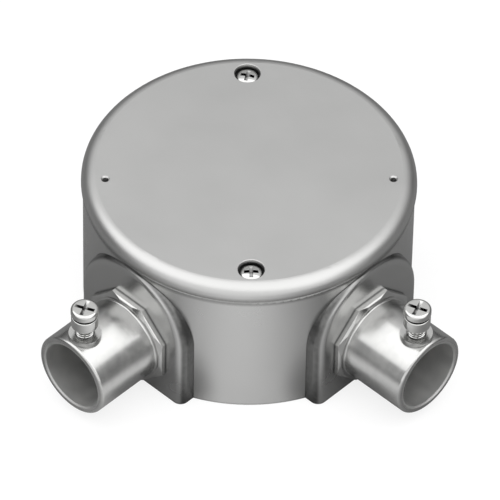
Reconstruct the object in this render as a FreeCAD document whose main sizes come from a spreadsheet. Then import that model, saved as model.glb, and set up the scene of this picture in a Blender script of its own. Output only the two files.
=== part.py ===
import FreeCAD, Part
import math
import os

import Sketcher

DOC = FreeCAD.newDocument("round_conduit_box")

# Driving sizes in millimetres.
SIZES = [
    ("body_diameter", 88.4, "outside of the round wall"),
    ("wall_thickness", 3.0, "round wall"),
    ("floor_thickness", 2.6, "back of the box"),
    ("rim_band", 0.8, "plain wall between the hub pads and the rim"),
    ("rim_round", 1.2, "outer edge of the rim"),
    ("cover_overhang", 0.5, "how far the cover stands out past the wall"),
    ("cover_round", 3.8, "upper edge of the cover"),
    ("cover_skirt", 0.8, "edge of the cover below its round"),
    ("cover_hem", 0.6, "lower outer edge of the cover"),
    ("cover_plate", 2.4, "thickness of the cover"),
    ("lip_depth", 2.2, "locating lip below the rim"),
    ("lip_thickness", 1.8, "locating lip"),
    ("lip_clearance", 0.3, "locating lip inside the wall"),
    ("post_drop", 0.5, "top of the screw posts below the lip"),
    ("post_diameter", 8.4, "cover screw posts"),
    ("dimple_diameter", 1.7, "small dimples in the cover"),
    ("dimple_depth", 1.6, "small dimples in the cover"),
    ("dimple_chamfer", 0.35, "upper edge of the dimples"),
    ("dimple_inset", 2.7, "dimples in from the cover's rounded edge"),
    ("dimple_shift", 3.4, "dimples off the cover's middle, towards the hubs"),
    ("pad_width", 37.8, "hub pads"),
    ("pad_rise", 24.2, "hub axis to the top of the hub pads"),
    ("pad_round", 2.4, "front edges of the hub pads"),
    ("pad_stand", 0.5, "hub pad face past the wall"),
    ("conduit_diameter", 19.1, "outside of the conduit that fits the hubs"),
    ("conduit_clearance", 0.15, "bore past the conduit, on the radius"),
    ("tube_wall", 2.0, "hub tube"),
    ("tube_length", 20.0, "hub tube, flange to mouth"),
    ("mouth_round", 0.8, "outer edge of the hub mouth"),
    ("mouth_chamfer", 0.4, "inner edge of the hub mouth"),
    ("flange_thickness", 2.1, "hub flange"),
    ("flange_overhang", 1.5, "flats of the eight-sided hub flange past the tube"),
    ("flange_round", 0.9, "front edges of the hub flange"),
    ("flange_land", 0.5, "start of the flange's turned corners, in from its flats"),
    ("flange_fillet", 0.5, "hub flange to tube"),
    ("stop_width", 1.35, "conduit stop inside the conduit's outside"),
    ("stop_recess", 0.4, "conduit stop behind the flange face"),
    ("spigot_wall", 2.2, "hub spigot through the box wall"),
    ("spigot_clearance", 0.1, "spigot hole past the spigot, on the radius"),
    ("swage_width", 1.0, "spigot's swaged rim past the spigot"),
    ("swage_thickness", 1.2, "spigot's swaged rim"),
    ("wire_round", 0.5, "inner edge of the hub that the wires pass"),
    ("floor_gap", 0.4, "swaged rim above the floor"),
    ("seat_margin", 0.6, "flat seat past the swaged rim"),
    ("set_screw_inset", 5.2, "set screw axis in from the hub mouth"),
    ("boss_diameter", 8.6, "set screw boss"),
    ("boss_height", 1.2, "set screw boss above the tube"),
    ("set_thread", 5.0, "set screw thread"),
    ("set_shank_show", 3.0, "set screw thread between boss and head"),
    ("set_head_diameter", 7.2, "set screw head"),
    ("set_head_height", 3.4, "set screw head"),
    ("neck_diameter", 5.2, "neck where the drive disc breaks off"),
    ("neck_height", 0.7, "neck where the drive disc breaks off"),
    ("drive_diameter", 7.4, "drive disc"),
    ("drive_height", 2.1, "drive disc"),
    ("drive_round", 0.8, "upper edge of the drive disc"),
    ("tip_clearance", 0.3, "set screw tip outside the bore"),
    ("thread_clearance", 0.12, "screw shanks inside their holes, on the radius"),
    ("cross_width", 1.1, "width of the cross recesses"),
    ("cross_margin", 1.0, "cross recess in from the edge of its head"),
    ("cross_depth", 1.0, "cross recesses"),
    ("cover_thread", 4.0, "cover and earth screw threads"),
    ("cover_screw_length", 10.0, "cover screws under the head"),
    ("cover_head_diameter", 6.4, "cover screw heads"),
    ("cover_head_height", 1.5, "cover screw heads"),
    ("head_round", 1.0, "upper edges of the cover and earth screw heads"),
    ("recess_clearance", 0.3, "screw recess past the head, on the radius"),
    ("recess_depth", 2.2, "screw recesses in the cover"),
    ("recess_round", 0.2, "upper edge of the screw recesses"),
    ("recess_margin", 0.4, "flat between a screw recess and the cover's rounded edge"),
    ("cover_hole_clearance", 0.3, "cover hole past the screw, on the radius"),
    ("thread_hole_spare", 2.0, "threaded holes past the end of their screws"),
    ("earth_inset", 8.2, "earth screw axis in from the inside of the wall"),
    ("earth_boss_diameter", 9.0, "earth boss on the floor"),
    ("earth_boss_height", 7.0, "earth boss on the floor"),
    ("earth_screw_length", 5.5, "earth screw under the head"),
    ("earth_head_diameter", 7.0, "earth screw head"),
    ("earth_head_height", 2.4, "earth screw head"),
    ("washer_diameter", 9.0, "earth washer"),
    ("washer_thickness", 0.8, "earth washer"),
    ("mounting_pitch", 46.0, "between the mounting holes"),
    ("mounting_hole", 5.0, "mounting holes"),
]

# Radii, planes and heights that follow from the driving sizes.
PLACES = [
    ("wall_radius", "=sizes.body_diameter / 2", "outside of the wall"),
    ("cavity_radius", "=wall_radius - sizes.wall_thickness", "inside of the wall"),
    ("pad_plane", "=wall_radius + sizes.pad_stand", "hub pad face from the box axis"),
    ("bore_radius", "=sizes.conduit_diameter / 2 + sizes.conduit_clearance", "hub bore"),
    ("tube_radius", "=bore_radius + sizes.tube_wall", "hub tube"),
    ("flange_half", "=tube_radius + sizes.flange_overhang", "flats of the flange from the hub axis"),
    ("flange_step", "=flange_half * tan(22.5 deg)", "half the width of one flat"),
    ("flange_corner", "=flange_half / cos(22.5 deg)", "corners of the flange from the hub axis"),
    ("bevel_start", "=flange_half - sizes.flange_land", "inner edge of the turned corners"),
    ("bevel_end", "=flange_corner + sizes.flange_land", "turned corners run out past this"),
    ("passage_radius", "=sizes.conduit_diameter / 2 - sizes.stop_width", "wire way into the box"),
    ("spigot_radius", "=passage_radius + sizes.spigot_wall", "hub spigot"),
    ("swage_radius", "=spigot_radius + sizes.swage_width", "swaged rim"),
    ("seat_half", "=swage_radius + sizes.seat_margin", "half the flat seat inside the wall"),
    ("seat_plane", "=sqrt(cavity_radius ^ 2 - seat_half ^ 2)", "flat seat from the box axis"),
    ("inner_end", "=seat_plane - sizes.swage_thickness", "inner end of the hub"),
    ("flange_front", "=pad_plane + sizes.flange_thickness", "flange face from the box axis"),
    ("stop_plane", "=flange_front - sizes.stop_recess", "conduit stop from the box axis"),
    ("mouth", "=flange_front + sizes.tube_length", "hub mouth from the box axis"),
    ("hub_height", "=sizes.floor_thickness + sizes.floor_gap + swage_radius", "hub axis"),
    ("pad_top", "=hub_height + sizes.pad_rise", "top of the hub pads"),
    ("pad_spring", "=pad_top - sizes.pad_width / 2", "foot of the hub pads' arched tops"),
    ("body_height", "=pad_top + sizes.rim_band", "rim of the box"),
    ("cover_depth", "=sizes.cover_round + sizes.cover_skirt", "rim to the top of the cover"),
    ("total_height", "=body_height + cover_depth", "top of the cover"),
    ("cover_radius", "=wall_radius + sizes.cover_overhang", "outside of the cover"),
    ("flat_radius", "=cover_radius - sizes.cover_round", "flat top of the cover"),
    ("lip_radius", "=cavity_radius - sizes.lip_clearance", "outside of the locating lip"),
    ("lip_inside", "=lip_radius - sizes.lip_thickness", "inside of the locating lip"),
    ("post_top", "=body_height - sizes.lip_depth - sizes.post_drop", "top of the screw posts"),
    ("web_radius", "=cavity_radius + (sizes.wall_thickness - sizes.post_diameter) / 2", "post webs"),
    ("recess", "=sizes.cover_head_diameter + 2 * sizes.recess_clearance", "screw recess"),
    ("recess_reach", "=recess / 2 + sizes.recess_round + sizes.recess_margin", "recess and its margin"),
    ("screw_radius", "=flat_radius - recess_reach", "cover screws from the box axis"),
    ("cover_boss", "=2 * (lip_radius - screw_radius)", "bosses under the cover"),
    ("cover_hole", "=sizes.cover_thread + 2 * sizes.cover_hole_clearance", "screw hole in the cover"),
    ("cover_tap", "=sizes.cover_thread + 2 * sizes.thread_clearance", "cover and earth screw holes"),
    ("head_seat", "=total_height - sizes.recess_depth", "seat of the cover screw heads"),
    ("screw_end", "=head_seat - sizes.cover_screw_length", "end of the cover screws"),
    ("post_hole", "=post_top - screw_end + sizes.thread_hole_spare", "depth of the post holes"),
    ("dimple_radius", "=flat_radius - sizes.dimple_inset", "dimples from the cover's middle"),
    ("set_screw_place", "=mouth - sizes.set_screw_inset", "set screw from the box axis"),
    ("foot_radius", "=bore_radius + sizes.tube_wall / 5", "foot of flange and boss in the tube's wall"),
    ("boss_top", "=tube_radius + sizes.boss_height", "boss face from the hub axis"),
    ("set_tap", "=sizes.set_thread + 2 * sizes.thread_clearance", "set screw hole"),
    ("set_tip", "=bore_radius + sizes.tip_clearance", "set screw tip from the hub axis"),
    ("set_head", "=boss_top + sizes.set_shank_show", "set screw head from the hub axis"),
    ("set_neck", "=set_head + sizes.set_head_height", "neck from the hub axis"),
    ("set_drive", "=set_neck + sizes.neck_height", "drive disc from the hub axis"),
    ("set_top", "=set_drive + sizes.drive_height", "top of the set screw from the hub axis"),
    ("earth_radius", "=cavity_radius - sizes.earth_inset", "earth screw from the box axis"),
    ("earth_top", "=sizes.floor_thickness + sizes.earth_boss_height", "top of the earth boss"),
    ("earth_seat", "=earth_top + sizes.washer_thickness", "seat of the earth screw's head"),
    ("earth_grip", "=sizes.earth_screw_length - sizes.washer_thickness", "earth screw in its boss"),
]

# Any start size does for a sketch: its formulas set the real one.
SKETCH_START = 10.0
TOLERANCE = 0.001
UP = FreeCAD.Vector(0, 0, 1)
# Each hub's name and its turn about the box axis, in degrees.
HUBS = (("right", 0), ("front", -90))
# Slope of the flange's turned corners against its face, in degrees.
BEVEL_SLOPE = 30
# The cover screws stand on the line that halves the angle between the hubs.
COVER_YAW = 45


def make_sheet(name, rows):
    sheet = DOC.addObject("Spreadsheet::Sheet", name)
    for row, (alias, content, note) in enumerate(rows, start=1):
        sheet.set(f"A{row}", note)
        sheet.set(f"B{row}", str(content))
        sheet.setAlias(f"B{row}", alias)
    DOC.recompute()
    return sheet


def new_body(label):
    body = DOC.addObject("PartDesign::Body", label)
    body.Label = label
    return body


def origin_feature(body, role):
    return next(item for item in body.Origin.OriginFeatures if item.Role == role)


def new_sketch(body, name, role, offset=None):
    sketch = body.newObject("Sketcher::SketchObject", name)
    sketch.AttachmentSupport = [(origin_feature(body, role), "")]
    sketch.MapMode = "FlatFace"
    if offset:
        sketch.setExpression("AttachmentOffset.Base.z", offset)
    return sketch


def bind_constraint(sketch, constraint, formula):
    number = sketch.addConstraint(constraint)
    sketch.setExpression(f"Constraints[{number}]", formula)


def pin_point(sketch, piece, point, across, up):
    """Place a sketch point by two formulas, where "0" puts it on the axis itself."""
    horizontal_axis = -1
    vertical_axis = -2
    for kind, axis, formula in (("DistanceX", vertical_axis, across), ("DistanceY", horizontal_axis, up)):
        if formula == "0":
            sketch.addConstraint(Sketcher.Constraint("PointOnObject", piece, point, axis))
        else:
            bind_constraint(sketch, Sketcher.Constraint(kind, -1, 1, piece, point, SKETCH_START), formula)


def draw_circle(sketch, across, up, diameter):
    middle = FreeCAD.Vector(SKETCH_START, SKETCH_START, 0)
    circle = sketch.addGeometry(Part.Circle(middle, UP, SKETCH_START), False)
    pin_point(sketch, circle, 3, across, up)
    bind_constraint(sketch, Sketcher.Constraint("Diameter", circle, 2 * SKETCH_START), diameter)


def draw_outline(sketch, corners):
    count = len(corners)
    turns = [2 * math.pi * step / count for step in range(count)]
    spots = [SKETCH_START * FreeCAD.Vector(math.cos(turn), math.sin(turn), 0) for turn in turns]
    for step in range(count):
        sketch.addGeometry(Part.LineSegment(spots[step], spots[(step + 1) % count]), False)
    for step in range(count):
        sketch.addConstraint(Sketcher.Constraint("Coincident", step, 2, (step + 1) % count, 1))
    for step, (across, up) in enumerate(corners):
        pin_point(sketch, step, 1, across, up)


def add_feature(body, kind, name, sketch, length, reverse=False):
    feature = body.newObject(f"PartDesign::{kind}", name)
    feature.Profile = sketch
    feature.setExpression("Length", length)
    feature.Reversed = reverse
    DOC.recompute()
    return feature


def revolve(body, name, sketch, axis, kind="Revolution"):
    feature = body.newObject(f"PartDesign::{kind}", name)
    feature.Profile = sketch
    feature.ReferenceAxis = (sketch, [axis])
    feature.Angle = 360
    DOC.recompute()
    return feature


def dress_edges(body, name, base, size, wanted, kind="Fillet"):
    """Round or chamfer the edges of a feature that a test picks."""
    names = [f"Edge{number}" for number, edge in enumerate(base.Shape.Edges, start=1) if wanted(edge)]
    feature = body.newObject(f"PartDesign::{kind}", name)
    feature.Base = (base, names)
    feature.setExpression({"Fillet": "Radius", "Chamfer": "Size"}[kind], size)
    DOC.recompute()
    return feature


def near(one, other):
    return abs(one - other) < TOLERANCE


def edge_ends(edge):
    return [edge.valueAt(spot) for spot in edge.ParameterRange]


def ring_test(direction, distance, radius):
    """Pick the round edges of one radius that lie at a distance along a direction."""
    def wanted(edge):
        if not isinstance(edge.Curve, Part.Circle):
            return False
        return near(edge.Curve.Center.dot(direction), distance) and near(edge.Curve.Radius, radius)
    return wanted


def all_round(quarter):
    """Corners once round an outline that is the same in each quarter."""
    corners = []
    for across_sign, up_sign, order in ((1, 1, 1), (-1, 1, -1), (-1, -1, 1), (1, -1, -1)):
        for across, up in quarter[::order]:
            corners.append((f"{across_sign} * {across}", f"{up_sign} * {up}"))
    return corners


def cut_cross(body, head_diameter, top):
    """Cross recess in the top of a screw head."""
    reach = f"({head_diameter} / 2 - sizes.cross_margin)"
    half_width = "sizes.cross_width / 2"
    sketch = new_sketch(body, "cross_sketch", "XY_Plane", top)
    draw_outline(sketch, all_round([(reach, half_width), (half_width, half_width), (half_width, reach)]))
    add_feature(body, "Pocket", "cross", sketch, "sizes.cross_depth")


def place(piece, x_formula, y_formula, z_formula, yaw=0):
    piece.Placement = FreeCAD.Placement(FreeCAD.Vector(), FreeCAD.Rotation(UP, yaw))
    for axis, formula in zip("xyz", (x_formula, y_formula, z_formula)):
        piece.setExpression(f"Placement.Base.{axis}", formula)


def draw_arch(sketch, half, spring):
    """Two upright sides from the ground, closed by a half circle."""
    right_foot = SKETCH_START * FreeCAD.Vector(1, 0, 0)
    right_spring = right_foot + SKETCH_START * FreeCAD.Vector(0, 1, 0)
    arc = Part.ArcOfCircle(Part.Circle(right_spring - right_foot, UP, SKETCH_START), 0, math.pi)
    sketch.addGeometry(Part.LineSegment(-1 * right_foot, right_foot), False)
    sketch.addGeometry(Part.LineSegment(right_foot, right_spring), False)
    sketch.addGeometry(arc, False)
    sketch.addGeometry(Part.LineSegment(arc.EndPoint, -1 * right_foot), False)
    for number in range(4):
        sketch.addConstraint(Sketcher.Constraint("Coincident", number, 2, (number + 1) % 4, 1))
    pin_point(sketch, 2, 3, "0", spring)
    bind_constraint(sketch, Sketcher.Constraint("Radius", 2, SKETCH_START), half)
    for number, end in ((1, 1), (3, 2)):
        sketch.addConstraint(Sketcher.Constraint("Vertical", number))
        sketch.addConstraint(Sketcher.Constraint("Horizontal", 2, end, 2, 3))
        sketch.addConstraint(Sketcher.Constraint("PointOnObject", number, end, -1))


def add_hub_pad(body, name, role, outward):
    """Arched pad with rounded front edges, from the box axis out to its face."""
    sketch = new_sketch(body, f"{name}_sketch", role)
    draw_arch(sketch, "sizes.pad_width / 2", "places.pad_spring")
    block = add_feature(body, "Pad", name, sketch, "places.pad_plane")

    def front_edge(edge):
        on_face = all(near(end.dot(outward), places.pad_plane) for end in edge_ends(edge))
        return on_face and edge.CenterOfMass.z > TOLERANCE

    dress_edges(body, f"{name}_front", block, "sizes.pad_round", front_edge)


def draw_cavity(sketch):
    """Circle cut by a flat seat on the right and one at the front."""
    seat = math.atan2(places.seat_half, places.seat_plane)
    front = 1.5 * math.pi
    circle = Part.Circle(FreeCAD.Vector(), UP, places.cavity_radius)
    long_arc = Part.ArcOfCircle(circle, seat, front - seat)
    short_arc = Part.ArcOfCircle(circle, front + seat, 2 * math.pi - seat)
    front_seat = Part.LineSegment(long_arc.EndPoint, short_arc.StartPoint)
    right_seat = Part.LineSegment(short_arc.EndPoint, long_arc.StartPoint)
    for curve in (long_arc, front_seat, short_arc, right_seat):
        sketch.addGeometry(curve, False)
    for number in range(4):
        sketch.addConstraint(Sketcher.Constraint("Coincident", number, 2, (number + 1) % 4, 1))
    for arc in (0, 2):
        sketch.addConstraint(Sketcher.Constraint("Coincident", arc, 3, -1, 1))
    sketch.addConstraint(Sketcher.Constraint("Equal", 0, 2))
    sketch.addConstraint(Sketcher.Constraint("Horizontal", 1))
    sketch.addConstraint(Sketcher.Constraint("Vertical", 3))
    bind_constraint(sketch, Sketcher.Constraint("Radius", 0, SKETCH_START), "places.cavity_radius")
    bind_constraint(sketch, Sketcher.Constraint("DistanceY", 1, 1, -1, 1, SKETCH_START), "places.seat_plane")
    bind_constraint(sketch, Sketcher.Constraint("DistanceX", -1, 1, 3, 1, SKETCH_START), "places.seat_plane")


def add_posts(body):
    """Two posts for the cover screws, each joined to the wall by a web."""
    half_turn = f"cos({COVER_YAW} deg)"
    height = "places.post_top - sizes.floor_thickness"
    pieces = []
    for name, radius in (("post", "places.screw_radius"), ("post_web", "places.web_radius")):
        sketch = new_sketch(body, f"{name}_sketch", "XY_Plane", "sizes.floor_thickness")
        draw_circle(sketch, f"{radius} * {half_turn}", f"-{radius} * {half_turn}", "sizes.post_diameter")
        pieces.append(add_feature(body, "Pad", name, sketch, height))
    sketch = new_sketch(body, "post_hole_sketch", "XY_Plane", "places.post_top")
    along = f"places.screw_radius * {half_turn}"
    draw_circle(sketch, along, f"-{along}", "places.cover_tap")
    pieces.append(add_feature(body, "Pocket", "post_hole", sketch, "places.post_hole"))
    pair = body.newObject("PartDesign::PolarPattern", "post_pair")
    pair.Originals = pieces
    pair.Axis = (origin_feature(body, "Z_Axis"), [""])
    pair.Angle = 360
    pair.Occurrences = 2
    body.Tip = pair
    DOC.recompute()


def make_box_body():
    body = new_body("box_body")
    add_hub_pad(body, "right_pad", "YZ_Plane", FreeCAD.Vector(1, 0, 0))
    add_hub_pad(body, "front_pad", "XZ_Plane", FreeCAD.Vector(0, -1, 0))

    sketch = new_sketch(body, "wall_sketch", "XY_Plane")
    draw_circle(sketch, "0", "0", "sizes.body_diameter")
    wall = add_feature(body, "Pad", "wall", sketch, "places.body_height")
    rim = ring_test(UP, places.body_height, places.wall_radius)
    dress_edges(body, "rim", wall, "sizes.rim_round", rim)

    sketch = new_sketch(body, "rim_bore_sketch", "XY_Plane", "places.body_height")
    draw_circle(sketch, "0", "0", "2 * places.cavity_radius")
    add_feature(body, "Pocket", "rim_bore", sketch, "places.body_height - places.post_top")
    sketch = new_sketch(body, "cavity_sketch", "XY_Plane", "places.body_height")
    draw_cavity(sketch)
    add_feature(body, "Pocket", "cavity", sketch, "places.body_height - sizes.floor_thickness")

    hole = "2 * (places.spigot_radius + sizes.spigot_clearance)"
    for name, role in (("right_hub_hole", "YZ_Plane"), ("front_hub_hole", "XZ_Plane")):
        sketch = new_sketch(body, f"{name}_sketch", role)
        draw_circle(sketch, "0", "places.hub_height", hole)
        add_feature(body, "Pocket", name, sketch, "places.flange_front", reverse=True)
    add_posts(body)

    sketch = new_sketch(body, "earth_boss_sketch", "XY_Plane", "sizes.floor_thickness")
    draw_circle(sketch, "0", "places.earth_radius", "sizes.earth_boss_diameter")
    add_feature(body, "Pad", "earth_boss", sketch, "sizes.earth_boss_height")
    sketch = new_sketch(body, "earth_hole_sketch", "XY_Plane", "places.earth_top")
    draw_circle(sketch, "0", "places.earth_radius", "places.cover_tap")
    add_feature(body, "Pocket", "earth_hole", sketch, "places.earth_grip + sizes.thread_hole_spare")

    sketch = new_sketch(body, "mounting_sketch", "XY_Plane")
    draw_circle(sketch, "sizes.mounting_pitch / 2", "0", "sizes.mounting_hole")
    draw_circle(sketch, "-sizes.mounting_pitch / 2", "0", "sizes.mounting_hole")
    add_feature(body, "Pocket", "mounting_holes", sketch, "sizes.floor_thickness", reverse=True)
    return body


def draw_screw_pair(sketch, diameter):
    """One circle at each cover screw."""
    draw_circle(sketch, "0", "places.screw_radius", diameter)
    draw_circle(sketch, "0", "-places.screw_radius", diameter)


def make_cover():
    """Cover with its rim at the origin and its two screws along Y, then turned to its place."""
    body = new_body("cover")
    inside = "places.cover_depth - sizes.cover_plate"
    sketch = new_sketch(body, "cover_profile", "XZ_Plane")
    draw_outline(sketch, [
        ("0", "places.cover_depth"),
        ("0", inside),
        ("places.lip_inside", inside),
        ("places.lip_inside", "-sizes.lip_depth"),
        ("places.lip_radius", "-sizes.lip_depth"),
        ("places.lip_radius", "0"),
        ("places.cover_radius", "0"),
        ("places.cover_radius", "places.cover_depth"),
    ])
    disc = revolve(body, "disc", sketch, "V_Axis")
    upper_edge = ring_test(UP, places.cover_depth, places.cover_radius)
    disc = dress_edges(body, "upper_edge", disc, "sizes.cover_round", upper_edge)
    lower_edge = ring_test(UP, 0, places.cover_radius)
    dress_edges(body, "lower_edge", disc, "sizes.cover_hem", lower_edge)

    below_rim = "sizes.lip_depth + sizes.post_drop"
    sketch = new_sketch(body, "boss_sketch", "XY_Plane", f"-({below_rim})")
    draw_screw_pair(sketch, "places.cover_boss")
    add_feature(body, "Pad", "bosses", sketch, f"{below_rim} + {inside}")
    sketch = new_sketch(body, "hole_sketch", "XY_Plane", "places.cover_depth")
    draw_screw_pair(sketch, "places.cover_hole")
    add_feature(body, "Pocket", "holes", sketch, f"{below_rim} + places.cover_depth")
    sketch = new_sketch(body, "recess_sketch", "XY_Plane", "places.cover_depth")
    draw_screw_pair(sketch, "places.recess")
    recesses = add_feature(body, "Pocket", "recesses", sketch, "sizes.recess_depth")
    recess_edge = ring_test(UP, places.cover_depth, places.recess / 2)
    dress_edges(body, "recess_edges", recesses, "sizes.recess_round", recess_edge)

    sketch = new_sketch(body, "dimple_sketch", "XY_Plane", "places.cover_depth")
    draw_circle(sketch, "places.dimple_radius", "-sizes.dimple_shift", "sizes.dimple_diameter")
    draw_circle(sketch, "-places.dimple_radius", "-sizes.dimple_shift", "sizes.dimple_diameter")
    dimples = add_feature(body, "Pocket", "dimples", sketch, "sizes.dimple_depth")
    dimple_edge = ring_test(UP, places.cover_depth, sizes.dimple_diameter / 2)
    dress_edges(body, "dimple_edges", dimples, "sizes.dimple_chamfer", dimple_edge, kind="Chamfer")
    place(body, "0", "0", "places.body_height", COVER_YAW)
    return body


def make_screw(label, use):
    """Round-headed cross-recess screw for one use, with the seat of its head at the origin."""
    body = new_body(label)
    shank = "sizes.cover_thread / 2"
    length = f"sizes.{use}_screw_length"
    head_diameter = f"sizes.{use}_head_diameter"
    head_height = f"sizes.{use}_head_height"
    sketch = new_sketch(body, "screw_profile", "XZ_Plane")
    draw_outline(sketch, [
        ("0", f"-{length}"),
        (shank, f"-{length}"),
        (shank, "0"),
        (f"{head_diameter} / 2", "0"),
        (f"{head_diameter} / 2", head_height),
        ("0", head_height),
    ])
    turned = revolve(body, "turned", sketch, "V_Axis")
    head_edge = ring_test(UP, sizes.get(f"{use}_head_height"), sizes.get(f"{use}_head_diameter") / 2)
    dress_edges(body, "head_edge", turned, "sizes.head_round", head_edge)
    cut_cross(body, head_diameter, head_height)
    return body


def make_cover_screw(label, sign):
    body = make_screw(label, "cover")
    along = f"{sign} * places.screw_radius * cos({COVER_YAW} deg)"
    place(body, along, f"-1 * {along}", "places.head_seat", COVER_YAW)
    return body


def add_flange(body):
    """Eight-sided flange round the tube, its front edges rounded and its corners turned back."""
    half = "places.flange_half"
    step = "places.flange_step"
    sketch = new_sketch(body, "flange_sketch", "YZ_Plane", "places.pad_plane")
    draw_outline(sketch, all_round([(half, step), (step, half)]))
    draw_circle(sketch, "0", "0", "2 * places.foot_radius")
    flange = add_feature(body, "Pad", "flange", sketch, "sizes.flange_thickness")

    def front_edge(edge):
        straight = isinstance(edge.Curve, Part.Line)
        return straight and all(near(end.x, places.flange_front) for end in edge_ends(edge))

    dress_edges(body, "flange_edge", flange, "sizes.flange_round", front_edge)
    run_out = f"places.flange_front - (places.bevel_end - places.bevel_start) * tan({BEVEL_SLOPE} deg)"
    sketch = new_sketch(body, "bevel_sketch", "XZ_Plane")
    draw_outline(sketch, [
        ("places.flange_front", "places.bevel_start"),
        ("places.flange_front", "places.bevel_end"),
        (run_out, "places.bevel_end"),
    ])
    return revolve(body, "flange_corners", sketch, "H_Axis", kind="Groove")


def make_hub(side, yaw):
    """Turned tube along X: swaged spigot, flange, bored tube and a boss for the set screw."""
    body = new_body(f"{side}_hub")
    sketch = new_sketch(body, "hub_profile", "XZ_Plane")
    draw_outline(sketch, [
        ("places.mouth", "places.bore_radius"),
        ("places.mouth", "places.tube_radius"),
        ("places.pad_plane", "places.tube_radius"),
        ("places.pad_plane", "places.spigot_radius"),
        ("places.seat_plane", "places.spigot_radius"),
        ("places.seat_plane", "places.swage_radius"),
        ("places.inner_end", "places.swage_radius"),
        ("places.inner_end", "places.passage_radius"),
        ("places.stop_plane", "places.passage_radius"),
        ("places.stop_plane", "places.bore_radius"),
    ])
    revolve(body, "turned", sketch, "H_Axis")
    hub = add_flange(body)
    out = FreeCAD.Vector(1, 0, 0)
    rounds = (
        ("flange_root", "sizes.flange_fillet", places.flange_front, places.tube_radius),
        ("mouth_edge", "sizes.mouth_round", places.mouth, places.tube_radius),
        ("wire_edge", "sizes.wire_round", places.inner_end, places.passage_radius),
    )
    for name, size, along, radius in rounds:
        hub = dress_edges(body, name, hub, size, ring_test(out, along, radius))
    mouth = ring_test(out, places.mouth, places.bore_radius)
    dress_edges(body, "mouth_chamfer", hub, "sizes.mouth_chamfer", mouth, kind="Chamfer")

    sketch = new_sketch(body, "boss_sketch", "XY_Plane", "places.foot_radius")
    draw_circle(sketch, "places.set_screw_place", "0", "sizes.boss_diameter")
    add_feature(body, "Pad", "boss", sketch, "places.boss_top - places.foot_radius")
    sketch = new_sketch(body, "tap_sketch", "XY_Plane", "places.boss_top")
    draw_circle(sketch, "places.set_screw_place", "0", "places.set_tap")
    add_feature(body, "Pocket", "tap", sketch, "places.boss_top")
    place(body, "0", "0", "places.hub_height", yaw)
    return body


def make_set_screw(side, yaw):
    """Set screw with a drive disc on a thin neck, its axis square to the hub's."""
    body = new_body(f"{side}_set_screw")
    shank = "sizes.set_thread / 2"
    head = "sizes.set_head_diameter / 2"
    neck = "sizes.neck_diameter / 2"
    drive = "sizes.drive_diameter / 2"
    sketch = new_sketch(body, "screw_profile", "XZ_Plane")
    draw_outline(sketch, [
        ("0", "places.set_tip"),
        (shank, "places.set_tip"),
        (shank, "places.set_head"),
        (head, "places.set_head"),
        (head, "places.set_neck"),
        (neck, "places.set_neck"),
        (neck, "places.set_drive"),
        (drive, "places.set_drive"),
        (drive, "places.set_top"),
        ("0", "places.set_top"),
    ])
    turned = revolve(body, "turned", sketch, "V_Axis")
    drive_edge = ring_test(UP, places.set_top, sizes.drive_diameter / 2)
    dress_edges(body, "drive_edge", turned, "sizes.drive_round", drive_edge)
    cut_cross(body, "sizes.drive_diameter", "places.set_top")
    x_formula = f"places.set_screw_place * cos({yaw} deg)"
    y_formula = f"places.set_screw_place * sin({yaw} deg)"
    place(body, x_formula, y_formula, "places.hub_height", yaw)
    return body


def make_earth_screw():
    body = make_screw("earth_screw", "earth")
    place(body, "0", "places.earth_radius", "places.earth_seat")
    return body


def make_earth_washer():
    disc = DOC.addObject("Part::Cylinder", "washer_disc")
    hole = DOC.addObject("Part::Cylinder", "washer_hole")
    for cylinder, radius in ((disc, "sizes.washer_diameter / 2"), (hole, "places.cover_hole / 2")):
        cylinder.setExpression("Radius", radius)
        cylinder.setExpression("Height", "sizes.washer_thickness")
    washer = DOC.addObject("Part::Cut", "earth_washer")
    washer.Label = "earth_washer"
    washer.Base = disc
    washer.Tool = hole
    place(washer, "0", "places.earth_radius", "places.earth_top")
    return washer


def check_and_write(pieces):
    DOC.recompute()
    failed = [item.Name for item in DOC.Objects if "Invalid" in item.State or "Error" in item.State]
    if failed:
        raise RuntimeError(f"features failed: {failed}")
    for piece in pieces:
        if piece.Shape.isNull() or not piece.Shape.isValid():
            raise RuntimeError(f"{piece.Label} has no valid shape")
        if len(piece.Shape.Solids) != 1:
            raise RuntimeError(f"{piece.Label} is not one solid")
    os.makedirs("parts", exist_ok=True)
    for piece in pieces:
        piece.Shape.exportStep(f"parts/{piece.Label}.step")
        print(piece.Label, round(piece.Shape.Volume, 1), "cubic mm")


sizes = make_sheet("sizes", SIZES)
places = make_sheet("places", PLACES)
pieces = [make_box_body(), make_cover()]
pieces.append(make_cover_screw("cover_screw_front", 1))
pieces.append(make_cover_screw("cover_screw_rear", -1))
for side, yaw in HUBS:
    pieces.append(make_hub(side, yaw))
    pieces.append(make_set_screw(side, yaw))
pieces.append(make_earth_screw())
pieces.append(make_earth_washer())
check_and_write(pieces)
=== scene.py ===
import math

import bmesh
import bpy
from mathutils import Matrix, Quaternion, Vector


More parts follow.
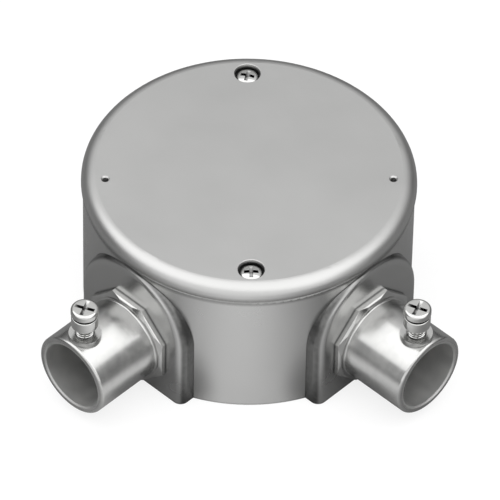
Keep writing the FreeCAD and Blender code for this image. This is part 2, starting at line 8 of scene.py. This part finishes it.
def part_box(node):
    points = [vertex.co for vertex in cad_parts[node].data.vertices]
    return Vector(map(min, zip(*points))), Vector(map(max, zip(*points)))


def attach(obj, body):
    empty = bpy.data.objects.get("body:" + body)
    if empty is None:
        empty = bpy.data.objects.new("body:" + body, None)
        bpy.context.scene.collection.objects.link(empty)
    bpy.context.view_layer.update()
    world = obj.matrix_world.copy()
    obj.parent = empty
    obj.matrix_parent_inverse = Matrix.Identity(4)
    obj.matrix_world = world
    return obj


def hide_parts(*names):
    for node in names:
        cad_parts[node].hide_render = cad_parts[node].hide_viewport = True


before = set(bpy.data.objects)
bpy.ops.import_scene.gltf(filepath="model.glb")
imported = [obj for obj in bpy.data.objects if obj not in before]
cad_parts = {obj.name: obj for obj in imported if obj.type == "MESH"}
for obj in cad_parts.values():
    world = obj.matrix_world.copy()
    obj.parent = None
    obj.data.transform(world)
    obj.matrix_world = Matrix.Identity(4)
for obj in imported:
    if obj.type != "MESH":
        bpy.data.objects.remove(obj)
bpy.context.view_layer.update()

MM = 0.001
UP = Vector((0, 0, 1))

# Camera of the photograph, fitted to the cover, hubs and pads, in metres and degrees.
IMAGE_SIDE = 500
SENSOR_WIDTH = 36.0
CAMERA_DISTANCE = 1.8
CAMERA_ELEVATION = 45.54
CAMERA_DIRECTION = 313.42
CAMERA_ROLL = 1.13
CAMERA_CLIP_START = 0.1
CAMERA_CLIP_END = 50
PIXELS_PER_METRE = 3733.0
AIM_HEIGHT = 0.020
AIM_RIGHT = 0.0006
AIM_UP = -0.0045

# Noise textures: scale and detail.
CLOUDS = (55.0, 4.0)
FLOW_MARKS = (180.0, 2.0)
GRAIN = (2600.0, 3.0)
MOTTLE = (260.0, 4.0)
TOOL_RINGS = (1.0, 2.0)
PITS = (3200.0, 2.0)
SPECKS = (900.0, 3.0)
FLOOR_CLOUDS = (40.0, 3.0)
NOISE_SPREAD = (0.3, 0.7)
RING_PITCH = 2400
RING_DRIFT = 30

# Bumps: strength and height in metres.
FLOW_BUMP = (0.04, 0.0004)
GRAIN_BUMP = (0.12, 0.00008)
RING_BUMP = (0.10, 0.00006)
PIT_BUMP = (0.05, 0.00005)

# Metals: darkest and palest colour, roughness, and how far the roughness drifts down and up.
BODY_COLOURS = ((0.46, 0.46, 0.455), (0.48, 0.48, 0.475))
COVER_COLOURS = ((0.47, 0.47, 0.465), (0.485, 0.485, 0.48))
HUB_COLOURS = ((0.46, 0.46, 0.455), (0.54, 0.54, 0.53))
SCREW_COLOURS = ((0.52, 0.52, 0.51), (0.60, 0.60, 0.59))
BODY_ROUGHNESS = 0.24
COVER_ROUGHNESS = 0.38
HUB_ROUGHNESS = 0.20
SCREW_ROUGHNESS = 0.10
CAST_DRIFT = (0.03, 0.04)
PLATE_DRIFT = (0.03, 0.05)

# Dullness inside the hub bores, by the distance from the hub axis in metres.
HUB_HEIGHT = 0.0144
BORE_EDGE = (0.0100, 0.0106)
BORE_DULLNESS = 0.4

# Painted shade in narrow hollows, a painted shadow line at the seam under the cover and painted shade beside
# the pads, in metres.
HOLLOW_SHADE_SAMPLES = 8
HOLLOW_SHADE_REACH = 0.0012
HOLLOW_SHADE_RANGE = (0.35, 0.85)
HOLLOW_SHADE_COLOURS = ((0.09, 0.09, 0.09), (0.15, 0.15, 0.15))
SEAM_HEIGHT = 0.0392
SEAM_DEPTH = (0.0425, 0.0430)
SEAM_REACH = (0.0008, 0.0019)
SEAM_SHADOW_COLOURS = ((0.27, 0.27, 0.266), (0.30, 0.30, 0.296))
PAD_SPRING = 0.0197
PAD_SIDE_START = (0.0178, 0.0186)
PAD_SIDE_END = (0.01895, 0.01905)
PAD_REACH = (0.0386, 0.0390)
PAD_SHADE_COLOURS = ((0.11, 0.11, 0.108), (0.15, 0.15, 0.148))

# Screw shapes in millimetres, with heights from the tip.
SCREW_SEGMENTS = 64
ROWS_PER_PITCH = 14
ARC_STEPS = 8
DOME_STEPS = 14
SMOOTH_ANGLE = math.radians(32)
THREAD_DEPTH_SHARE = 0.6134
THREAD_VALLEY_SHARE = 0.4
THREAD_VALLEY_GAIN = 1.15
THREAD_FADE_SHARE = 0.5
TIP_CHAMFER = 0.5
CROSS_HALF_WIDTH = 0.5
CROSS_TOP_RISE = 0.6
CROSS_FOOT_LENGTH_SHARE = 0.45
CROSS_FOOT_WIDTH_SHARE = 0.75
SET_THREAD_RADIUS = 2.5
SET_PITCH = 0.8
SET_HEAD_RADIUS = 3.6
SET_HEAD_FOOT = 5.9
SET_HEAD_TOP = 9.3
SET_HEAD_ROUND = 0.35
NECK_RADIUS = 2.6
DRIVE_RADIUS = 3.7
DRIVE_FOOT = 10.0
DRIVE_TOP = 12.1
DRIVE_FOOT_ROUND = 0.3
DRIVE_TOP_ROUND = 0.8
HEAD_THREAD_RADIUS = 2.0
HEAD_PITCH = 0.7
HEAD_HEM = 0.2

# Cross recesses: half length and depth. Headed screws: length, head radius and head height.
SET_CROSS = (2.7, 1.3)
COVER_CROSS = (2.1, 1.4)
EARTH_CROSS = (2.3, 1.6)
COVER_SCREW = (10.0, 3.2, 1.5)
EARTH_SCREW = (5.5, 3.5, 2.4)

# Turns of the cross recesses in degrees.
SET_SCREW_TURNS = {"right_set_screw": 20, "front_set_screw": -65}
COVER_SCREW_TURNS = {"cover_screw_front": 45, "cover_screw_rear": 30}
EARTH_SCREW_TURN = 15

# Floor in metres, and the painted pool of light that metal shows on it, palest ahead, with a painted shadow
# by the hubs.
FLOOR_SIDE = 12.0
FLOOR_GAP = 0.0001
FLOOR_COLOURS = ((0.21, 0.21, 0.21), (0.23, 0.23, 0.23))
FLOOR_LIFT = 0.78
POOL_LEVEL = 0.87
POOL_SPREAD = math.radians(52)
POOL_TURN = math.radians(-4)
CORNER_SHADE = 0.1
CORNER_SHADE_REACH = (0.006, 0.016)
HUB_CORNERS = ((0.014, -0.047, 0), (0.047, -0.014, 0))

# Sky levels by the sine of the height, behind the object and in front of it.
SKY_BEHIND = ((0.0, 0.04), (0.3, 0.14), (0.6, 0.37), (0.75, 0.50), (0.9, 0.50), (1.0, 0.36))
SKY_AHEAD = ((0.0, 0.70), (0.3, 0.66), (0.6, 0.56), (0.8, 0.42), (1.0, 0.36))
SKY_STRENGTH = 2.0
SKY_TURN = (0.1, 0.75)

# Overhead softbox in metres and watts.
SOFTBOX_WIDTH = 2.2
SOFTBOX_DEPTH = 1.0
SOFTBOX_HEIGHT = 0.65
SOFTBOX_AHEAD = 0.12
SOFTBOX_LEFT = 0.026
SOFTBOX_POWER = 7.75


def add_object(name, data):
    obj = bpy.data.objects.new(name, data)
    bpy.context.scene.collection.objects.link(obj)
    return obj


def add_mesh(name, mesh):
    data = bpy.data.meshes.new(name)
    mesh.to_mesh(data)
    mesh.free()
    return add_object(name, data)


def dress(obj, material):
    obj.data.materials.clear()
    obj.data.materials.append(material)


# Materials.


class Nodes:
    """Short calls to add and join the nodes of a material or the world."""

    def __init__(self, owner):
        owner.use_nodes = True
        self.tree = owner.node_tree
        self.tree.nodes.clear()

    def node(self, kind, **values):
        made = self.tree.nodes.new(f"ShaderNode{kind}")
        for key, value in values.items():
            setattr(made, key, value)
        return made

    def join(self, out_socket, in_socket):
        self.tree.links.new(out_socket, in_socket)

    def math(self, operation, first, second=0):
        made = self.node("Math", operation=operation)
        for number, value in enumerate((first, second)):
            if isinstance(value, (int, float)):
                made.inputs[number].default_value = value
            else:
                self.join(value, made.inputs[number])
        return made.outputs["Value"]

    def vector(self, operation, value, constant=(0, 0, 0)):
        """The outputs of a sum of a vector and a constant one."""
        made = self.node("VectorMath", operation=operation)
        made.inputs[1].default_value = constant
        self.join(value, made.inputs[0])
        return made.outputs

    def split(self, value):
        made = self.node("SeparateXYZ")
        self.join(value, made.inputs[0])
        return made.outputs

    def span(self, value, low, high, spread, curve="LINEAR"):
        """A value run between two numbers."""
        scaled = self.node("MapRange", interpolation_type=curve)
        scaled.inputs["From Min"].default_value = spread[0]
        scaled.inputs["From Max"].default_value = spread[1]
        scaled.inputs["To Min"].default_value = low
        scaled.inputs["To Max"].default_value = high
        self.join(value, scaled.inputs["Value"])
        return scaled.outputs["Result"]

    def steps(self, value, stops):
        """A value run through grey levels at given stops."""
        ramp = self.node("ValToRGB")
        elements = ramp.color_ramp.elements
        for position, level in stops[2:]:
            elements.new(position)
        for element, (position, level) in zip(elements, stops):
            element.position = position
            element.color = (level, level, level, 1)
        self.join(value, ramp.inputs["Fac"])
        return ramp.outputs["Color"]

    def blend(self, factor, first, second):
        mix = self.node("Mix", data_type="RGBA")
        self.join(factor, mix.inputs["Factor"])
        self.join(first, mix.inputs["A"])
        self.join(second, mix.inputs["B"])
        return mix.outputs["Result"]


class Shader(Nodes):
    """A material with one principled surface and textures laid in object space."""

    def __init__(self, name, metallic):
        self.material = bpy.data.materials.new(name)
        super().__init__(self.material)
        self.surface = self.node("BsdfPrincipled")
        self.surface.inputs["Metallic"].default_value = metallic
        self.output = self.node("OutputMaterial")
        self.join(self.surface.outputs["BSDF"], self.output.inputs["Surface"])
        self.place = self.node("TexCoord").outputs["Object"]

    def clear_from_behind(self):
        """Let light and sight through from the back of each face."""
        mix = self.node("MixShader")
        self.join(self.node("NewGeometry").outputs["Backfacing"], mix.inputs[0])
        self.join(self.surface.outputs["BSDF"], mix.inputs[1])
        self.join(self.node("BsdfTransparent").outputs["BSDF"], mix.inputs[2])
        self.join(mix.outputs[0], self.output.inputs["Surface"])

    def noise(self, scale, detail, stretch=(1, 1, 1)):
        mapping = self.node("Mapping")
        mapping.inputs["Scale"].default_value = stretch
        self.join(self.place, mapping.inputs["Vector"])
        texture = self.node("TexNoise")
        texture.inputs["Scale"].default_value = scale
        texture.inputs["Detail"].default_value = detail
        self.join(mapping.outputs["Vector"], texture.inputs["Vector"])
        return texture.outputs["Fac"]

    def ramp(self, value, colours):
        """A noise run between two colours."""
        ramp = self.node("ValToRGB")
        for element, position, colour in zip(ramp.color_ramp.elements, NOISE_SPREAD, colours):
            element.position = position
            element.color = (*colour, 1)
        self.join(value, ramp.inputs["Fac"])
        return ramp.outputs["Color"]

    def sheen(self, value, roughness, drift):
        """A roughness that drifts with a noise."""
        return self.span(value, roughness - drift[0], roughness + drift[1], NOISE_SPREAD)

    def bump(self, height, strength, distance, under=None):
        bump = self.node("Bump")
        bump.inputs["Strength"].default_value = strength
        bump.inputs["Distance"].default_value = distance
        self.join(height, bump.inputs["Height"])
        if under:
            self.join(under, bump.inputs["Normal"])
        return bump.outputs["Normal"]

    def shade_over(self, share, colour, shade_colours):
        """A colour with specked painted shade over a share of it."""
        return self.blend(share, colour, self.ramp(self.noise(*SPECKS), shade_colours))

    def hollow_shade(self, colour):
        """Painted shade that darkens narrow hollows, found by ambient occlusion."""
        hollow = self.node("AmbientOcclusion", samples=HOLLOW_SHADE_SAMPLES)
        hollow.inputs["Distance"].default_value = HOLLOW_SHADE_REACH
        share = self.span(hollow.outputs["AO"], 1, 0, HOLLOW_SHADE_RANGE, "SMOOTHSTEP")
        return self.shade_over(share, colour, HOLLOW_SHADE_COLOURS)

    def length(self, first, second):
        squares = self.math("ADD", self.math("POWER", first, 2), self.math("POWER", second, 2))
        return self.math("SQRT", squares)

    def feed(self, **sockets):
        for name, source in sockets.items():
            self.join(source, self.surface.inputs[name.replace("_", " ")])


def seam_shade(shader, colour):
    """A painted shadow line round the outside where the cover meets the box, and painted shade in the
    hollows.
    """
    split = shader.split(shader.place)
    outside = shader.span(shader.length(split["X"], split["Y"]), 0, 1, SEAM_DEPTH)
    off_seam = shader.math("ABSOLUTE", shader.math("SUBTRACT", split["Z"], SEAM_HEIGHT))
    line = shader.span(off_seam, 1, 0, SEAM_REACH, "SMOOTHSTEP")
    colour = shader.shade_over(shader.math("MULTIPLY", line, outside), colour, SEAM_SHADOW_COLOURS)
    return shader.hollow_shade(colour)


def pad_side_shade(shader, colour):
    """The seam's painted shadow line and hollow shade, and painted shade along the sides of both hub pads.
    """
    colour = seam_shade(shader, colour)
    split = shader.split(shader.place)
    over = shader.math("MAXIMUM", shader.math("SUBTRACT", split["Z"], PAD_SPRING), 0)
    marks = []
    for along, sign, beside in (("X", 1, "Y"), ("Y", -1, "X")):
        out = shader.math("MULTIPLY", split[along], sign)
        off_middle = shader.length(split[beside], over)
        inner = shader.span(off_middle, 0, 1, PAD_SIDE_START, "SMOOTHSTEP")
        outer = shader.span(off_middle, 1, 0, PAD_SIDE_END)
        side = shader.math("MULTIPLY", inner, outer)
        marks.append(shader.math("MULTIPLY", side, shader.span(out, 0, 1, PAD_REACH)))
    return shader.shade_over(shader.math("MAXIMUM", *marks), colour, PAD_SHADE_COLOURS)


def cast_metal(name, colours, roughness, add_painted_shade):
    """Satin cast alloy: fine grain, faint flow marks and uneven sheen, with painted shade laid over its
    colour.
    """
    shader = Shader(name, metallic=1)
    clouds = shader.noise(*CLOUDS)
    normal = shader.bump(shader.noise(*FLOW_MARKS), *FLOW_BUMP)
    normal = shader.bump(shader.noise(*GRAIN), *GRAIN_BUMP, normal)
    shader.feed(
        Base_Color=add_painted_shade(shader, shader.ramp(clouds, colours)),
        Roughness=shader.sheen(clouds, roughness, CAST_DRIFT),
        Normal=normal,
    )
    return shader.material


def plated_metal(name, colours, roughness, stretch, across=None):
    """Bright plating over turned steel, with tool rings, a mottled sheen and painted shade in its hollows,
    duller inside a bore.
    """
    shader = Shader(name, metallic=1)
    mottle = shader.noise(*MOTTLE)
    normal = shader.bump(shader.noise(*TOOL_RINGS, stretch), *RING_BUMP)
    normal = shader.bump(shader.noise(*PITS), *PIT_BUMP, normal)
    sheen = shader.sheen(mottle, roughness, PLATE_DRIFT)
    if across:
        reach = shader.vector("SUBTRACT", shader.place, (0, 0, HUB_HEIGHT))["Vector"]
        flat = shader.vector("MULTIPLY", reach, across)["Vector"]
        off_axis = shader.vector("LENGTH", flat)["Value"]
        sheen = shader.math("ADD", sheen, shader.span(off_axis, BORE_DULLNESS, 0, BORE_EDGE))
    # Painted shade darkens the plating's narrow hollows.
    colour = shader.hollow_shade(shader.ramp(mottle, colours))
    shader.feed(Base_Color=colour, Roughness=sheen, Normal=normal)
    return shader.material


RINGS_ALONG_X = (RING_PITCH, RING_DRIFT, RING_DRIFT)
RINGS_ALONG_Y = (RING_DRIFT, RING_PITCH, RING_DRIFT)
RINGS_ALONG_Z = (RING_DRIFT, RING_DRIFT, RING_PITCH)
# The body takes painted shade at the seam, in hollows and along the pad sides; the cover takes it at the
# seam and in hollows.
CAST_BODY = cast_metal("cast_body_satin", BODY_COLOURS, BODY_ROUGHNESS, pad_side_shade)
CAST_COVER = cast_metal("cast_cover_satin", COVER_COLOURS, COVER_ROUGHNESS, seam_shade)
PLATE_RIGHT = plated_metal("plated_right_hub", HUB_COLOURS, HUB_ROUGHNESS, RINGS_ALONG_X, (0, 1, 1))
PLATE_FRONT = plated_metal("plated_front_hub", HUB_COLOURS, HUB_ROUGHNESS, RINGS_ALONG_Y, (1, 0, 1))
PLATE_SCREW = plated_metal("plated_screw", SCREW_COLOURS, SCREW_ROUGHNESS, RINGS_ALONG_Z)

dress(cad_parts["box_body"], CAST_BODY)
dress(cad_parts["cover"], CAST_COVER)
dress(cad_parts["right_hub"], PLATE_RIGHT)
dress(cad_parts["front_hub"], PLATE_FRONT)
dress(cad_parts["earth_washer"], PLATE_SCREW)


# Screws.


def skin(name, rings_of_points):
    """A closed mesh over rings of points, from the lowest ring to the highest, capped at both ends."""
    mesh = bmesh.new()
    rings = [[mesh.verts.new(Vector(point) * MM) for point in points] for points in rings_of_points]
    count = len(rings[0])
    for lower, upper in zip(rings, rings[1:]):
        for step in range(count):
            beside = (step + 1) % count
            mesh.faces.new((lower[step], lower[beside], upper[beside], upper[step]))
    mesh.faces.new(list(reversed(rings[0])))
    mesh.faces.new(rings[-1])
    return add_mesh(name, mesh)


def thread_rows(length, radius, pitch):
    """Rows of a screw thread, each a height and a radius for every step round, with a pointed start."""
    depth = THREAD_DEPTH_SHARE * pitch
    count = round(length / pitch * ROWS_PER_PITCH)
    rows = []
    for row in range(count + 1):
        height = length * row / count
        fade = min(1.0, (length - height) / (THREAD_FADE_SHARE * pitch))
        point = radius - TIP_CHAMFER + height
        radii = []
        for step in range(SCREW_SEGMENTS):
            phase = (height / pitch - step / SCREW_SEGMENTS) % 1.0
            valley = max(0.0, 1.0 - abs(phase - 0.5) / THREAD_VALLEY_SHARE)
            thread_radius = radius - depth * min(1.0, THREAD_VALLEY_GAIN * valley) * fade
            radii.append(min(thread_radius, point))
        rows.append((height, radii))
    return rows


def plain_rows(profile):
    return [(height, [radius] * SCREW_SEGMENTS) for radius, height in profile]


def row_points(height, radii):
    points = []
    for step, radius in enumerate(radii):
        turn = 2 * math.pi * step / SCREW_SEGMENTS
        points.append((radius * math.cos(turn), radius * math.sin(turn), height))
    return points


def corner_arc(radius, height, size, start_turn):
    """Points of a rounded outer corner in a profile of radius and height, a quarter turn from start_turn."""
    points = []
    for step in range(ARC_STEPS + 1):
        turn = math.radians(start_turn + 90 * step / ARC_STEPS)
        points.append((radius + size * math.cos(turn), height + size * math.sin(turn)))
    return points


def disc_profile(radius, foot, top, foot_round, top_round):
    lower = corner_arc(radius - foot_round, foot + foot_round, foot_round, -90)
    upper = corner_arc(radius - top_round, top - top_round, top_round, 0)
    return lower + upper


def set_screw_rows():
    """Thread, head, thin neck and drive disc."""
    head = disc_profile(SET_HEAD_RADIUS, SET_HEAD_FOOT, SET_HEAD_TOP, SET_HEAD_ROUND, SET_HEAD_ROUND)
    neck = [(NECK_RADIUS, SET_HEAD_TOP), (NECK_RADIUS, DRIVE_FOOT)]
    drive = disc_profile(DRIVE_RADIUS, DRIVE_FOOT, DRIVE_TOP, DRIVE_FOOT_ROUND, DRIVE_TOP_ROUND)
    return thread_rows(SET_HEAD_FOOT, SET_THREAD_RADIUS, SET_PITCH) + plain_rows(head + neck + drive)


def headed_screw_rows(length, radius, head_height):
    """Thread and a domed head."""
    head = corner_arc(radius - HEAD_HEM, length + HEAD_HEM, HEAD_HEM, -90)
    dome = head_height - 2 * HEAD_HEM
    for step in range(1, DOME_STEPS):
        turn = math.pi / 2 * step / DOME_STEPS
        head.append((radius * math.cos(turn), length + head_height - dome * (1 - math.sin(turn))))
    return thread_rows(length, HEAD_THREAD_RADIUS, HEAD_PITCH) + plain_rows(head)


def plus_points(half_length, half_width, height):
    quarter = [(half_length, -half_width), (half_length, half_width), (half_width, half_width)]
    points = []
    for turn in range(4):
        for across, up in quarter:
            for _ in range(turn):
                across, up = -up, across
            points.append((across, up, height))
    return points


def cross_cutter(half_length, depth, top):
    """A cross that narrows towards its foot, as a driver's point does."""
    foot_length = half_length * CROSS_FOOT_LENGTH_SHARE
    foot_width = CROSS_HALF_WIDTH * CROSS_FOOT_WIDTH_SHARE
    rings = [
        plus_points(foot_length, foot_width, top - depth),
        plus_points(half_length, CROSS_HALF_WIDTH, top),
        plus_points(half_length, CROSS_HALF_WIDTH, top + CROSS_TOP_RISE),
    ]
    return skin("cross_cutter", rings)


def cut(obj, cutter):
    """Take one mesh out of another and keep the result as plain mesh."""
    modifier = obj.modifiers.new("cut", "BOOLEAN")
    modifier.operation = "DIFFERENCE"
    modifier.solver = "EXACT"
    modifier.object = cutter
    graph = bpy.context.evaluated_depsgraph_get()
    result = bpy.data.meshes.new_from_object(obj.evaluated_get(graph))
    obj.modifiers.clear()
    obj.data = result
    bpy.data.objects.remove(cutter)


def place_screw(node, rows, cross, top, turn):
    """A finished screw in its CAD node's place, resting on the node's lowest point."""
    obj = skin(f"{node}_threaded", [row_points(height, radii) for height, radii in rows])
    cut(obj, cross_cutter(*cross, top))
    obj.data.shade_smooth()
    obj.data.set_sharp_from_angle(angle=SMOOTH_ANGLE)
    low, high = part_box(node)
    obj.location = ((low.x + high.x) / 2, (low.y + high.y) / 2, low.z)
    obj.rotation_euler = (0, 0, math.radians(turn))
    dress(obj, PLATE_SCREW)
    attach(obj, node)
    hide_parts(node)


def place_headed_screw(node, shape, cross, turn):
    length, _, head_height = shape
    place_screw(node, headed_screw_rows(*shape), cross, length + head_height, turn)


for screw, screw_turn in SET_SCREW_TURNS.items():
    place_screw(screw, set_screw_rows(), SET_CROSS, DRIVE_TOP, screw_turn)
for screw, screw_turn in COVER_SCREW_TURNS.items():
    place_headed_screw(screw, COVER_SCREW, COVER_CROSS, screw_turn)
place_headed_screw("earth_screw", EARTH_SCREW, EARTH_CROSS, EARTH_SCREW_TURN)


# Stage, light and camera.


def make_floor(ahead):
    """A pale floor that keeps the shadow; metal sees on it a painted pool of light, palest ahead, and a
    painted shadow by the hubs.
    """
    mesh = bmesh.new()
    bmesh.ops.create_grid(mesh, x_segments=1, y_segments=1, size=FLOOR_SIDE / 2)
    floor = add_mesh("floor", mesh)
    floor.location.z = -FLOOR_GAP
    shader = Shader("pale_floor", metallic=0)
    # Painted pool of light ahead and painted shadow by the hub corners, shown to reflections only.
    way = shader.vector("NORMALIZE", shader.place)["Vector"]
    angle = shader.math("ARCCOSINE", shader.vector("DOT_PRODUCT", way, ahead)["Value"])
    light_pool = shader.span(angle, POOL_LEVEL, 0, (0, POOL_SPREAD), "SMOOTHSTEP")
    reaches = [shader.vector("DISTANCE", shader.place, corner)["Value"] for corner in HUB_CORNERS]
    nearest = shader.math("MINIMUM", *reaches)
    shade = shader.span(nearest, CORNER_SHADE, 1, CORNER_SHADE_REACH, "SMOOTHSTEP")
    path = shader.node("LightPath").outputs
    mirrored = shader.math("ADD", path["Is Glossy Ray"], path["Is Transmission Ray"])
    mirrored = shader.math("MULTIPLY", mirrored, shader.math("MULTIPLY", light_pool, shade))
    shown = shader.math("ADD", path["Is Camera Ray"], mirrored)
    shader.surface.inputs["Roughness"].default_value = 1.0
    shader.surface.inputs["Specular IOR Level"].default_value = 0.0
    shader.surface.inputs["Emission Color"].default_value = (1, 1, 1, 1)
    shader.feed(
        Base_Color=shader.ramp(shader.noise(*FLOOR_CLOUDS), FLOOR_COLOURS),
        Emission_Strength=shader.math("MULTIPLY", shown, FLOOR_LIFT),
    )
    shader.clear_from_behind()
    dress(floor, shader.material)


def make_world(ahead):
    """A soft studio, graded by height and by side."""
    world = bpy.data.worlds.new("studio")
    bpy.context.scene.world = world
    nodes = Nodes(world)
    way = nodes.node("TexCoord").outputs["Generated"]
    height = nodes.split(way)["Z"]
    side = nodes.span(nodes.vector("DOT_PRODUCT", way, ahead)["Value"], 0, 1, SKY_TURN, "SMOOTHSTEP")
    sky = nodes.blend(side, nodes.steps(height, SKY_BEHIND), nodes.steps(height, SKY_AHEAD))
    studio = nodes.node("Background")
    studio.inputs["Strength"].default_value = SKY_STRENGTH
    nodes.join(sky, studio.inputs["Color"])
    nodes.join(studio.outputs[0], nodes.node("OutputWorld").inputs["Surface"])


def make_softbox(ahead, right):
    """A wide soft light overhead that points at the object."""
    light = bpy.data.lights.new("overhead_softbox", "AREA")
    light.shape = "RECTANGLE"
    light.size = SOFTBOX_WIDTH
    light.size_y = SOFTBOX_DEPTH
    light.energy = SOFTBOX_POWER
    obj = add_object("overhead_softbox", light)
    obj.visible_camera = False
    obj.location = ahead * SOFTBOX_AHEAD - right * SOFTBOX_LEFT + UP * SOFTBOX_HEIGHT
    obj.rotation_mode = "QUATERNION"
    obj.rotation_quaternion = (-obj.location).to_track_quat("-Z", "Y")


def camera_axes():
    """The way from the object to the camera, and the camera's right and up."""
    turn = math.radians(CAMERA_DIRECTION)
    rise = math.radians(CAMERA_ELEVATION)
    back = Vector((math.cos(rise) * math.cos(turn), math.cos(rise) * math.sin(turn), math.sin(rise)))
    right = UP.cross(back).normalized()
    return back, right, back.cross(right)


def make_camera(back, right, above):
    middle = UP * AIM_HEIGHT
    data = bpy.data.cameras.new("photo_camera")
    data.sensor_width = SENSOR_WIDTH
    data.lens = PIXELS_PER_METRE * CAMERA_DISTANCE * SENSOR_WIDTH / IMAGE_SIDE
    data.clip_start = CAMERA_CLIP_START
    data.clip_end = CAMERA_CLIP_END
    camera = add_object("photo_camera", data)
    camera.location = middle + back * CAMERA_DISTANCE
    aim = middle + right * AIM_RIGHT + above * AIM_UP
    camera.rotation_mode = "QUATERNION"
    look = (aim - camera.location).to_track_quat("-Z", "Y")
    camera.rotation_quaternion = look @ Quaternion(UP, math.radians(CAMERA_ROLL))
    bpy.context.scene.camera = camera


BACK, RIGHT, ABOVE = camera_axes()
AHEAD = Vector((BACK.x, BACK.y, 0)).normalized()
make_floor(Quaternion(UP, POOL_TURN) @ AHEAD)
make_world(AHEAD)
make_softbox(AHEAD, RIGHT)
make_camera(BACK, RIGHT, ABOVE)
bpy.context.scene.view_settings.view_transform = "Standard"
